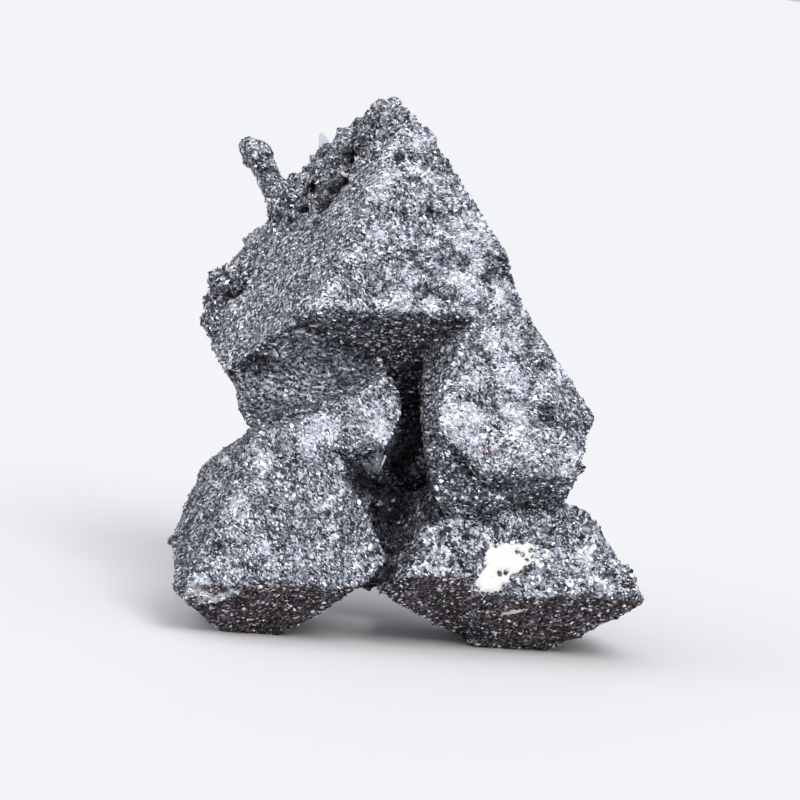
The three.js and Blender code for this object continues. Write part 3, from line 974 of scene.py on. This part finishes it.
def add_bowl(made):
    """The bowl's floor, as a block whose back is buried in the stone."""
    grid = bmesh.ops.create_grid(made, x_segments=BOWL_GRID, y_segments=BOWL_GRID, size=1)["verts"]
    start, end = BOWL_ROWS[0][0], BOWL_ROWS[-1][0]
    for vertex in grid:
        x = start + (end - start) * (vertex.co.x + 1) / 2
        top, _, bottom, _ = bowl_row(x)
        y = top + (bottom - top) * (1 - vertex.co.y) / 2
        vertex.co = seen_at(x, y, bowl_depth(x, min(max(y, top), bottom)))
    floor = list({face for vertex in grid for face in vertex.link_faces})
    block = bmesh.ops.extrude_face_region(made, geom=floor)["geom"]
    moved = [part for part in block if isinstance(part, bmesh.types.BMVert)]
    bmesh.ops.translate(made, verts=moved, vec=-sight()[2] * BOWL_BURIED * MM)
    walls = list({face for vertex in grid + moved for face in vertex.link_faces})
    bmesh.ops.recalc_face_normals(made, faces=walls)


class HEMATITE_OT_stone(bpy.types.Operator):
    """The cluster itself, with plates, lumps, knobs, pits and fine ledges"""

    bl_idname = "hematite.stone"
    bl_label = "Rough stone"

    def execute(self, context):
        settings = context.scene.hematite_stone
        surface = Surface(settings)
        loose = bmesh.new()
        loose.from_mesh(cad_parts[STONE].data)
        bmesh.ops.remove_doubles(loose, verts=loose.verts, dist=1e-7)
        add_bowl(loose)
        for centre, radius in surface.knobs():
            place = Matrix.Translation(centre)
            bmesh.ops.create_icosphere(loose, subdivisions=2, radius=radius, matrix=place)
        piece = bmesh_object("rough_stone", loose, stone_material())
        remesh = piece.modifiers.new("even_grid", "REMESH")
        remesh.mode = "VOXEL"
        remesh.voxel_size = settings.grid
        mesh = settle(piece)
        for vertex in mesh.vertices:
            vertex.co = surface.carved(vertex.co.copy())
        mesh.update()
        points = [(v.co.copy(), v.normal.copy()) for v in mesh.vertices]
        heights = [surface.relief(p, f) for p, f in points]
        for vertex, (place, facing), height in zip(mesh.vertices, points, heights):
            vertex.co = place + facing * height
        self.mark(mesh, surface, points, heights)
        thinning = piece.modifiers.new("fewer_faces", "DECIMATE")
        thinning.ratio = STONE_SHARE
        keep_in_box(settle(piece))
        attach(piece, BODY)
        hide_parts(STONE)
        return {"FINISHED"}

    def mark(self, mesh, surface, points, heights):
        """Stores where each kind of crystal grows, its painted sparkle, its tint with painted shade and its
        grain.
        """
        bare = [surface.bare(p) for p, _ in points]
        front, left, under, rest = zip(*[surface.sides(p, f) for p, f in points])
        store(mesh, "front_side", [a * b for a, b in zip(front, bare)])
        store(mesh, "left_side", left)
        store(mesh, "underside", under)
        store(mesh, "rear_side", [a * b for a, b in zip(rest, bare)])
        store(mesh, "druse", [min(1.0, closeness(p, surface.crust)) for p, _ in points])
        store(mesh, "coarse", [surface.coarse(p, f) * b for (p, f), b in zip(points, bare)])
        store(mesh, "painted_sparkle", [surface.whiteness(p, f, h) for (p, f), h in zip(points, heights)])
        way = mesh.attributes.new("way", "FLOAT_VECTOR", "POINT")
        way.data.foreach_set("vector", [c for p, f in points for c in surface.way(p, f)])
        tints = [surface.tint(p, f, h) for (p, f), h in zip(points, heights)]
        tint = mesh.attributes.new("tint", "FLOAT_COLOR", "POINT")
        tint.data.foreach_set("color", [c for shade in tints for c in (*shade, 1.0)])


# Small crystals


def hidden_shape(name, made, stretch):
    """A small crystal for strewing, about 1 in half width, which isn't in the scene itself."""
    bmesh.ops.scale(made, vec=stretch, verts=made.verts)
    return bpy.data.objects.new(name, mesh_of(name, made))


def grain_shape():
    made = bmesh.new()
    bmesh.ops.create_uvsphere(made, u_segments=4, v_segments=2, radius=1)
    return hidden_shape("grain_shape", made, (1.35, 0.5, 0.6))


def flake_shape():
    made = bmesh.new()
    bmesh.ops.create_cone(made, cap_ends=True, segments=5, radius1=1, radius2=0.75, depth=0.4)
    return hidden_shape("flake_shape", made, (1.1, 0.7, 1))


def blade_shape():
    made = bmesh.new()
    bmesh.ops.create_cube(made, size=2)
    return hidden_shape("blade_shape", made, (1, 0.34, 0.25))


def random_value(nodes, kind, seed):
    return add(nodes, "FunctionNodeRandomValue", data_type=kind, Seed=seed)


def named(nodes, kind, name):
    """What the ground has stored under a name."""
    node = add(nodes, "GeometryNodeInputNamedAttribute", data_type=kind)
    node.inputs["Name"].default_value = name
    return node.outputs["Attribute"]


def scatter_tree(name, shape, density, mask, size, seed, tilt, spin):
    """A node group that strews copies of a small crystal, each turned, sized and shaded by chance."""
    tree = bpy.data.node_groups.new(name, "GeometryNodeTree")
    for side in ("INPUT", "OUTPUT"):
        tree.interface.new_socket("Geometry", in_out=side, socket_type="NodeSocketGeometry")
    nodes, links = tree.nodes, tree.links
    start, end = nodes.new("NodeGroupInput"), nodes.new("NodeGroupOutput")
    points = add(nodes, "GeometryNodeDistributePointsOnFaces", distribute_method="RANDOM", Seed=seed)
    amount = add(nodes, "ShaderNodeMath", operation="MULTIPLY")
    dress(links, points, {
        "Mesh": start.outputs[0],
        "Density": fed(links, amount, named(nodes, "FLOAT", mask), density / MM**2),
    })
    turn = random_value(nodes, "FLOAT_VECTOR", seed + 1)
    turn.inputs[0].default_value = (-tilt, -tilt, -spin)
    turn.inputs[1].default_value = (tilt, tilt, spin)
    aligned = add(nodes, "FunctionNodeAlignRotationToVector", axis="X", pivot_axis="Z")
    dress(links, aligned, {
        "Vector": named(nodes, "FLOAT_VECTOR", "way"),
        "Rotation": points.outputs["Rotation"],
    })
    turned = add(nodes, "FunctionNodeRotateRotation", rotation_space="LOCAL")
    as_turn = fed(links, nodes.new("FunctionNodeEulerToRotation"), turn.outputs[0])
    fed(links, turned, aligned.outputs[0], as_turn)
    chance = random_value(nodes, "FLOAT", seed + 2).outputs[1]
    sized = nodes.new("ShaderNodeMapRange")
    dress(links, sized, {
        "To Min": size[0],
        "To Max": size[1],
        "Value": fed(links, add(nodes, "ShaderNodeMath", operation="POWER"), chance, SMALL_SIZES),
    })
    crystal = nodes.new("GeometryNodeObjectInfo")
    crystal.inputs["Object"].default_value = shape
    placed = nodes.new("GeometryNodeInstanceOnPoints")
    dress(links, placed, {
        "Points": points.outputs["Points"],
        "Instance": crystal.outputs["Geometry"],
        "Rotation": turned.outputs[0],
        "Scale": sized.outputs["Result"],
    })
    stored = add(nodes, "GeometryNodeStoreNamedAttribute", data_type="FLOAT", domain="INSTANCE")
    dress(links, stored, {
        "Name": "shade",
        "Geometry": placed.outputs["Instances"],
        "Value": random_value(nodes, "FLOAT", seed + 3).outputs[1],
    })
    real = fed(links, nodes.new("GeometryNodeRealizeInstances"), stored.outputs["Geometry"])
    links.new(real, end.inputs[0])
    return tree


def strew(name, shape, material, mask, density, sizes, seed, tilt, spin):
    """One joined mesh of small crystals over the rough stone. Sizes are shares of the usual size."""
    settings = bpy.context.scene.hematite_crystals
    size = [settings.size * share for share in sizes]
    piece = mesh_object(name, bpy.data.objects["rough_stone"].data.copy(), material)
    strewing = piece.modifiers.new("strewing", "NODES")
    strewing.node_group = scatter_tree(name, shape, density, mask, size, settings.seed + seed, tilt, spin)
    mesh = settle(piece)
    mesh.materials.clear()
    mesh.materials.append(material)
    ride_as_trim(piece)


class HEMATITE_OT_front_crystals(bpy.types.Operator):
    """Bright small crystals and flat flakes that cover the front faces"""

    bl_idname = "hematite.front_crystals"
    bl_label = "Front crystals"

    def execute(self, context):
        settings = context.scene.hematite_crystals
        stops = [(0.05, 0.02), (0.3, 0.08), (0.52, 0.28), (0.72, 0.8), (1.0, 1.15)]
        bright = crystal_material(
            "hematite_bright_grains", stops, roughness=0.34, metallic=0.55, painted_sparkle_share=0.6
        )
        strew(
            "front_grains", grain_shape(), bright, "front_side", settings.front_density,
            sizes=(0.5, 1.6), seed=0, tilt=0.7, spin=0.55,
        )
        stops = [(0.05, 0.02), (0.4, 0.06), (0.58, 0.25), (0.75, 0.8), (1.0, 1.1)]
        facets = crystal_material("hematite_facets", stops, roughness=0.3, metallic=0.5, painted_sparkle_share=0.35)
        strew(
            "large_facets", flake_shape(), facets, "coarse", FACET_DENSITY,
            sizes=(1.1, 3.0), seed=70, tilt=0.6, spin=math.pi,
        )
        stops = [(0.0, 0.08), (0.4, 0.2), (0.7, 0.45), (0.9, 0.9), (1.0, 1.0)]
        flakes = crystal_material("hematite_flakes", stops, roughness=0.3, metallic=0.7, painted_sparkle_share=0.5)
        strew(
            "front_flakes", flake_shape(), flakes, "front_side", FLAKE_DENSITY,
            sizes=(1.2, 2.8), seed=10, tilt=0.35, spin=math.pi,
        )
        return {"FINISHED"}


class HEMATITE_OT_side_crystals(bpy.types.Operator):
    """Duller small crystals on the left, right and rear faces"""

    bl_idname = "hematite.side_crystals"
    bl_label = "Side crystals"

    def execute(self, context):
        settings = context.scene.hematite_crystals
        stops = [(0.05, 0.04), (0.4, 0.14), (0.7, 0.34), (0.92, 0.7), (1.0, 0.95)]
        dull = crystal_material(
            "hematite_dull_grains", stops, roughness=0.36, metallic=0.6, painted_sparkle_share=0.5
        )
        strew(
            "left_grains", grain_shape(), dull, "left_side", settings.side_density,
            sizes=(0.5, 1.25), seed=20, tilt=0.7, spin=0.5,
        )
        strew(
            "rear_grains", grain_shape(), dull, "rear_side", settings.rear_density,
            sizes=(0.7, 1.9), seed=30, tilt=0.7, spin=0.9,
        )
        return {"FINISHED"}


class HEMATITE_OT_underside_blades(bpy.types.Operator):
    """Level blades and clean glints on the dark undersides"""

    bl_idname = "hematite.underside_blades"
    bl_label = "Underside blades"

    def execute(self, context):
        stops = [(0.05, 0.02), (0.5, 0.1), (0.72, 0.4), (0.86, 1.8), (1.0, 2.6)]
        blades = crystal_material("hematite_blades", stops, roughness=0.3, metallic=0.6, painted_sparkle_share=0.3)
        strew(
            "underside_blades", blade_shape(), blades, "underside", BLADE_DENSITY,
            sizes=(0.45, 1.6), seed=40, tilt=0.5, spin=0.4,
        )
        strew(
            "underside_glints", flake_shape(), glint_material(), "underside", GLINT_DENSITY,
            sizes=(0.5, 1.9), seed=60, tilt=0.6, spin=0.5,
        )
        return {"FINISHED"}


class HEMATITE_OT_druse(bpy.types.Operator):
    """Coarser crystals of the crust along the top edge and round the left nodule"""

    bl_idname = "hematite.druse"
    bl_label = "Druse"

    def execute(self, context):
        stops = [(0.05, 0.03), (0.4, 0.14), (0.62, 0.4), (0.8, 1.2), (1.0, 1.6)]
        druse = crystal_material("hematite_druse", stops, roughness=0.28, metallic=0.6, painted_sparkle_share=0.4)
        strew(
            "druse_crystals", grain_shape(), druse, "druse", DRUSE_DENSITY,
            sizes=(1.0, 2.4), seed=50, tilt=0.9, spin=math.pi,
        )
        return {"FINISHED"}


# Single crystals and crusts


def surface_frame(tree, x, y, turn):
    """A matrix whose X lies along the surface, at an angle in the picture, and whose Z faces out of it."""
    right, up, _, _ = sight()
    point, facing = place_seen(tree, x, y)
    a = math.radians(turn)
    along = right * math.cos(a) + up * math.sin(a)
    along = (along - facing * along.dot(facing)).normalized()
    return Matrix.Translation(point) @ axes_to_matrix(along, facing.cross(along), facing)


def frame_between(tree, start, end):
    """The length of a line between two places of the picture, and a matrix along it at its middle."""
    low, high = place_seen(tree, *start)[0], place_seen(tree, *end)[0]
    turn = math.degrees(math.atan2(start[1] - end[1], end[0] - start[0]))
    stand = surface_frame(tree, (start[0] + end[0]) / 2, (start[1] + end[1]) / 2, turn)
    return (high - low).length, stand


def bevelled(made, offset, segments):
    """Bevels all edges of a shape by an offset in millimetres."""
    bmesh.ops.bevel(
        made, geom=made.edges[:], offset=offset * MM, affect="EDGES", segments=segments, profile=0.5,
        material=-1,
    )


class HEMATITE_OT_bright_crystals(bpy.types.Operator):
    """Single bright crystals and thin needles that catch the light"""

    bl_idname = "hematite.bright_crystals"
    bl_label = "Bright crystals"

    def execute(self, context):
        tree = tree_of(bpy.data.objects["rough_stone"])
        made = bmesh.new()
        for x, y, half, width, turn in BRIGHT_CRYSTALS:
            size = Matrix.Diagonal((half * MM, half * width * MM, BRIGHT_HALF * MM, 1))
            bmesh.ops.create_cube(made, size=2, matrix=surface_frame(tree, x, y, turn) @ size)
        bevelled(made, BRIGHT_BEVEL, segments=1)
        ride_as_trim(bmesh_object("bright_crystals", made, bright_material("bright_facets", 0.75, 0.3)))
        made = bmesh.new()
        for start, end in NEEDLES:
            reach, stand = frame_between(tree, start, end)
            width, thickness = NEEDLE_HALVES
            size = Matrix.Diagonal((reach / 2, width * MM, thickness * MM, 1))
            bmesh.ops.create_cube(made, size=2, matrix=stand @ size)
        ride_as_trim(bmesh_object("needles", made, bright_material("needle_facets", 0.6, 0.4)))
        return {"FINISHED"}


class HEMATITE_OT_cream_crust(bpy.types.Operator):
    """Cream-white crust on the right foot, and the pale lens under it"""

    bl_idname = "hematite.cream_crust"
    bl_label = "Cream crust"

    def execute(self, context):
        solid = tree_of(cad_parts[STONE])
        self.add_crust(context.scene.hematite_patch, solid, tree_of(bpy.data.objects["rough_stone"]))
        self.add_lens(solid)
        return {"FINISHED"}

    def add_crust(self, settings, solid, rough):
        """A sheet that is cut to the lobes, laid on the rough stone and thickened."""
        lobes = balls_at(solid, CREAM_LOBES)
        holes = balls_at(solid, CREAM_BARE)
        middle = surface_frame(solid, *CREAM_MIDDLE, 0)
        outward = middle.col[2].xyz
        made = bmesh.new()
        bmesh.ops.create_grid(
            made, x_segments=CREAM_GRID, y_segments=CREAM_GRID, size=CREAM_HALF * MM, matrix=middle
        )

        def inside(place):
            ragged = sum(sway(place / MM, reach * MM, rate) for reach, rate in CREAM_SWAYS)
            edge = max(radius - (place - centre).length for centre, radius in lobes)
            hole = min((place - centre).length - radius for centre, radius in holes)
            return min(edge, hole) + ragged

        depths = {v: inside(v.co) for v in made.verts}
        bmesh.ops.delete(made, geom=[v for v, depth in depths.items() if depth < 0], context="VERTS")
        for vertex in made.verts:
            point, _, _, _ = rough.ray_cast(vertex.co + outward * CREAM_START * MM, -outward)
            rise = math.sqrt(smooth_step(0, CREAM_EDGE * MM, depths[vertex]))
            fine = sway(point / MM, CREAM_FINE[0] * MM, CREAM_FINE[1])
            vertex.co = point + outward * (settings.thickness * rise + fine)
        bmesh.ops.smooth_vert(
            made, verts=made.verts, factor=0.5, use_axis_x=True, use_axis_y=True, use_axis_z=True
        )
        bmesh.ops.solidify(made, geom=made.faces[:], thickness=CREAM_WALL * MM)
        bmesh.ops.recalc_face_normals(made, faces=made.faces)
        cream = cream_material("cream_powder", tuple(settings.colour))
        ride_as_trim(bmesh_object("cream_crust", made, cream))

    def add_lens(self, solid):
        made = bmesh.new()
        reach, stand = frame_between(solid, *PALE_LENS)
        width, thickness = LENS_HALVES
        size = Matrix.Diagonal((reach / 2, width * MM, thickness * MM, 1))
        bmesh.ops.create_uvsphere(made, u_segments=24, v_segments=12, radius=1, matrix=stand @ size)
        ride_as_trim(bmesh_object("pale_lens", made, cream_material("pale_lens_stone", LENS_COLOUR)))


class HEMATITE_OT_clear_blade(bpy.types.Operator):
    """Small see-through blade that stands in the top crust"""

    bl_idname = "hematite.clear_blade"
    bl_label = "Clear blade"

    def execute(self, context):
        right, up, back, _ = sight()
        foot, _ = place_seen(tree_of(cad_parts[STONE]), *CLEAR_BLADE)
        made = bmesh.new()
        stand = Matrix.Translation(foot + up * BLADE_RISE * MM) @ axes_to_matrix(right, up, back)
        size = Matrix.Diagonal((*[half * MM for half in BLADE_HALVES], 1))
        bmesh.ops.create_cube(made, size=2, matrix=stand @ size)
        tip = foot + up * BLADE_TIP[1] * MM + right * BLADE_TIP[0] * MM
        for across, upward in BLADE_SLOPES:
            cut = bmesh.ops.bisect_plane(
                made, geom=made.verts[:] + made.edges[:] + made.faces[:], plane_co=tip,
                plane_no=right * across + up * upward, clear_outer=True,
            )
            edges = [e for e in cut["geom_cut"] if isinstance(e, bmesh.types.BMEdge)]
            bmesh.ops.holes_fill(made, edges=edges)
        bevelled(made, BLADE_BEVEL, segments=2)
        bmesh.ops.recalc_face_normals(made, faces=made.faces)
        ride_as_trim(bmesh_object("clear_blade", made, clear_material()))
        return {"FINISHED"}


# Stage


def soft_light(name, place, strength):
    """A broad even light. Its place is a bearing from -Y towards +X, a rise and a width in degrees."""
    bearing, rise, width = [math.radians(angle) for angle in place]
    data = bpy.data.lights.new(name, "SUN")
    data.angle = width
    data.energy = strength
    lamp = bpy.data.objects.new(name, data)
    bpy.context.scene.collection.objects.link(lamp)
    flat = math.cos(rise)
    away = Vector((math.sin(bearing) * flat, -math.cos(bearing) * flat, math.sin(rise)))
    lamp.rotation_euler = away.to_track_quat("Z", "Y").to_euler()


class HEMATITE_OT_stage(bpy.types.Operator):
    """Pale floor, soft lights and the camera"""

    bl_idname = "hematite.stage"
    bl_label = "Stage"

    def execute(self, context):
        settings = context.scene.hematite_stage
        made = bmesh.new()
        bmesh.ops.create_circle(made, cap_ends=True, segments=64, radius=FLOOR_RADIUS)
        material, _, links, surface = new_material("pale_floor")
        dress(links, surface, {"Base Color": tuple(settings.floor_colour), "Roughness": 0.7})
        bmesh_object("floor", made, material)
        world = bpy.data.worlds.new("room")
        world.use_nodes = True
        light = world.node_tree.nodes["Background"]
        light.inputs["Color"].default_value = (0.95, 0.965, 1, 1)
        light.inputs["Strength"].default_value = settings.sky
        context.scene.world = world
        soft_light("key", KEY_PLACE, settings.key)
        soft_light("fill", FILL_PLACE, settings.fill)
        data = bpy.data.cameras.new("camera")
        data.sensor_width = SENSOR
        data.lens = LENS
        data.clip_start = 0.01
        camera = bpy.data.objects.new("camera", data)
        context.scene.collection.objects.link(camera)
        right, up, back, place = sight()
        camera.matrix_world = Matrix.Translation(place) @ axes_to_matrix(right, up, back)
        context.scene.camera = camera
        context.scene.view_settings.view_transform = "Standard"
        return {"FINISHED"}


# Panel and running


class HEMATITE_PT_panel(bpy.types.Panel):
    bl_idname = "HEMATITE_PT_panel"
    bl_label = "Hematite specimen"
    bl_space_type = "VIEW_3D"
    bl_region_type = "UI"
    bl_category = "Hematite"

    def draw(self, context):
        for operator in OPERATORS:
            self.layout.operator(operator.bl_idname)


OPERATORS = (
    HEMATITE_OT_stone,
    HEMATITE_OT_front_crystals,
    HEMATITE_OT_side_crystals,
    HEMATITE_OT_underside_blades,
    HEMATITE_OT_druse,
    HEMATITE_OT_bright_crystals,
    HEMATITE_OT_cream_crust,
    HEMATITE_OT_clear_blade,
    HEMATITE_OT_stage,
)
SETTINGS = {
    "hematite_stone": StoneSettings,
    "hematite_crystals": CrystalSettings,
    "hematite_patch": PatchSettings,
    "hematite_stage": StageSettings,
}


def register():
    for kind in (*SETTINGS.values(), *OPERATORS, HEMATITE_PT_panel):
        bpy.utils.register_class(kind)
    for name, kind in SETTINGS.items():
        setattr(bpy.types.Scene, name, bpy.props.PointerProperty(type=kind))


def unregister():
    for name in SETTINGS:
        delattr(bpy.types.Scene, name)
    for kind in (HEMATITE_PT_panel, *reversed(OPERATORS), *SETTINGS.values()):
        bpy.utils.unregister_class(kind)


def main():
    register()
    bpy.ops.hematite.stone()
    bpy.ops.hematite.front_crystals()
    bpy.ops.hematite.side_crystals()
    bpy.ops.hematite.underside_blades()
    bpy.ops.hematite.druse()
    bpy.ops.hematite.bright_crystals()
    bpy.ops.hematite.cream_crust()
    bpy.ops.hematite.clear_blade()
    bpy.ops.hematite.stage()


if __name__ == "__main__":
    main()
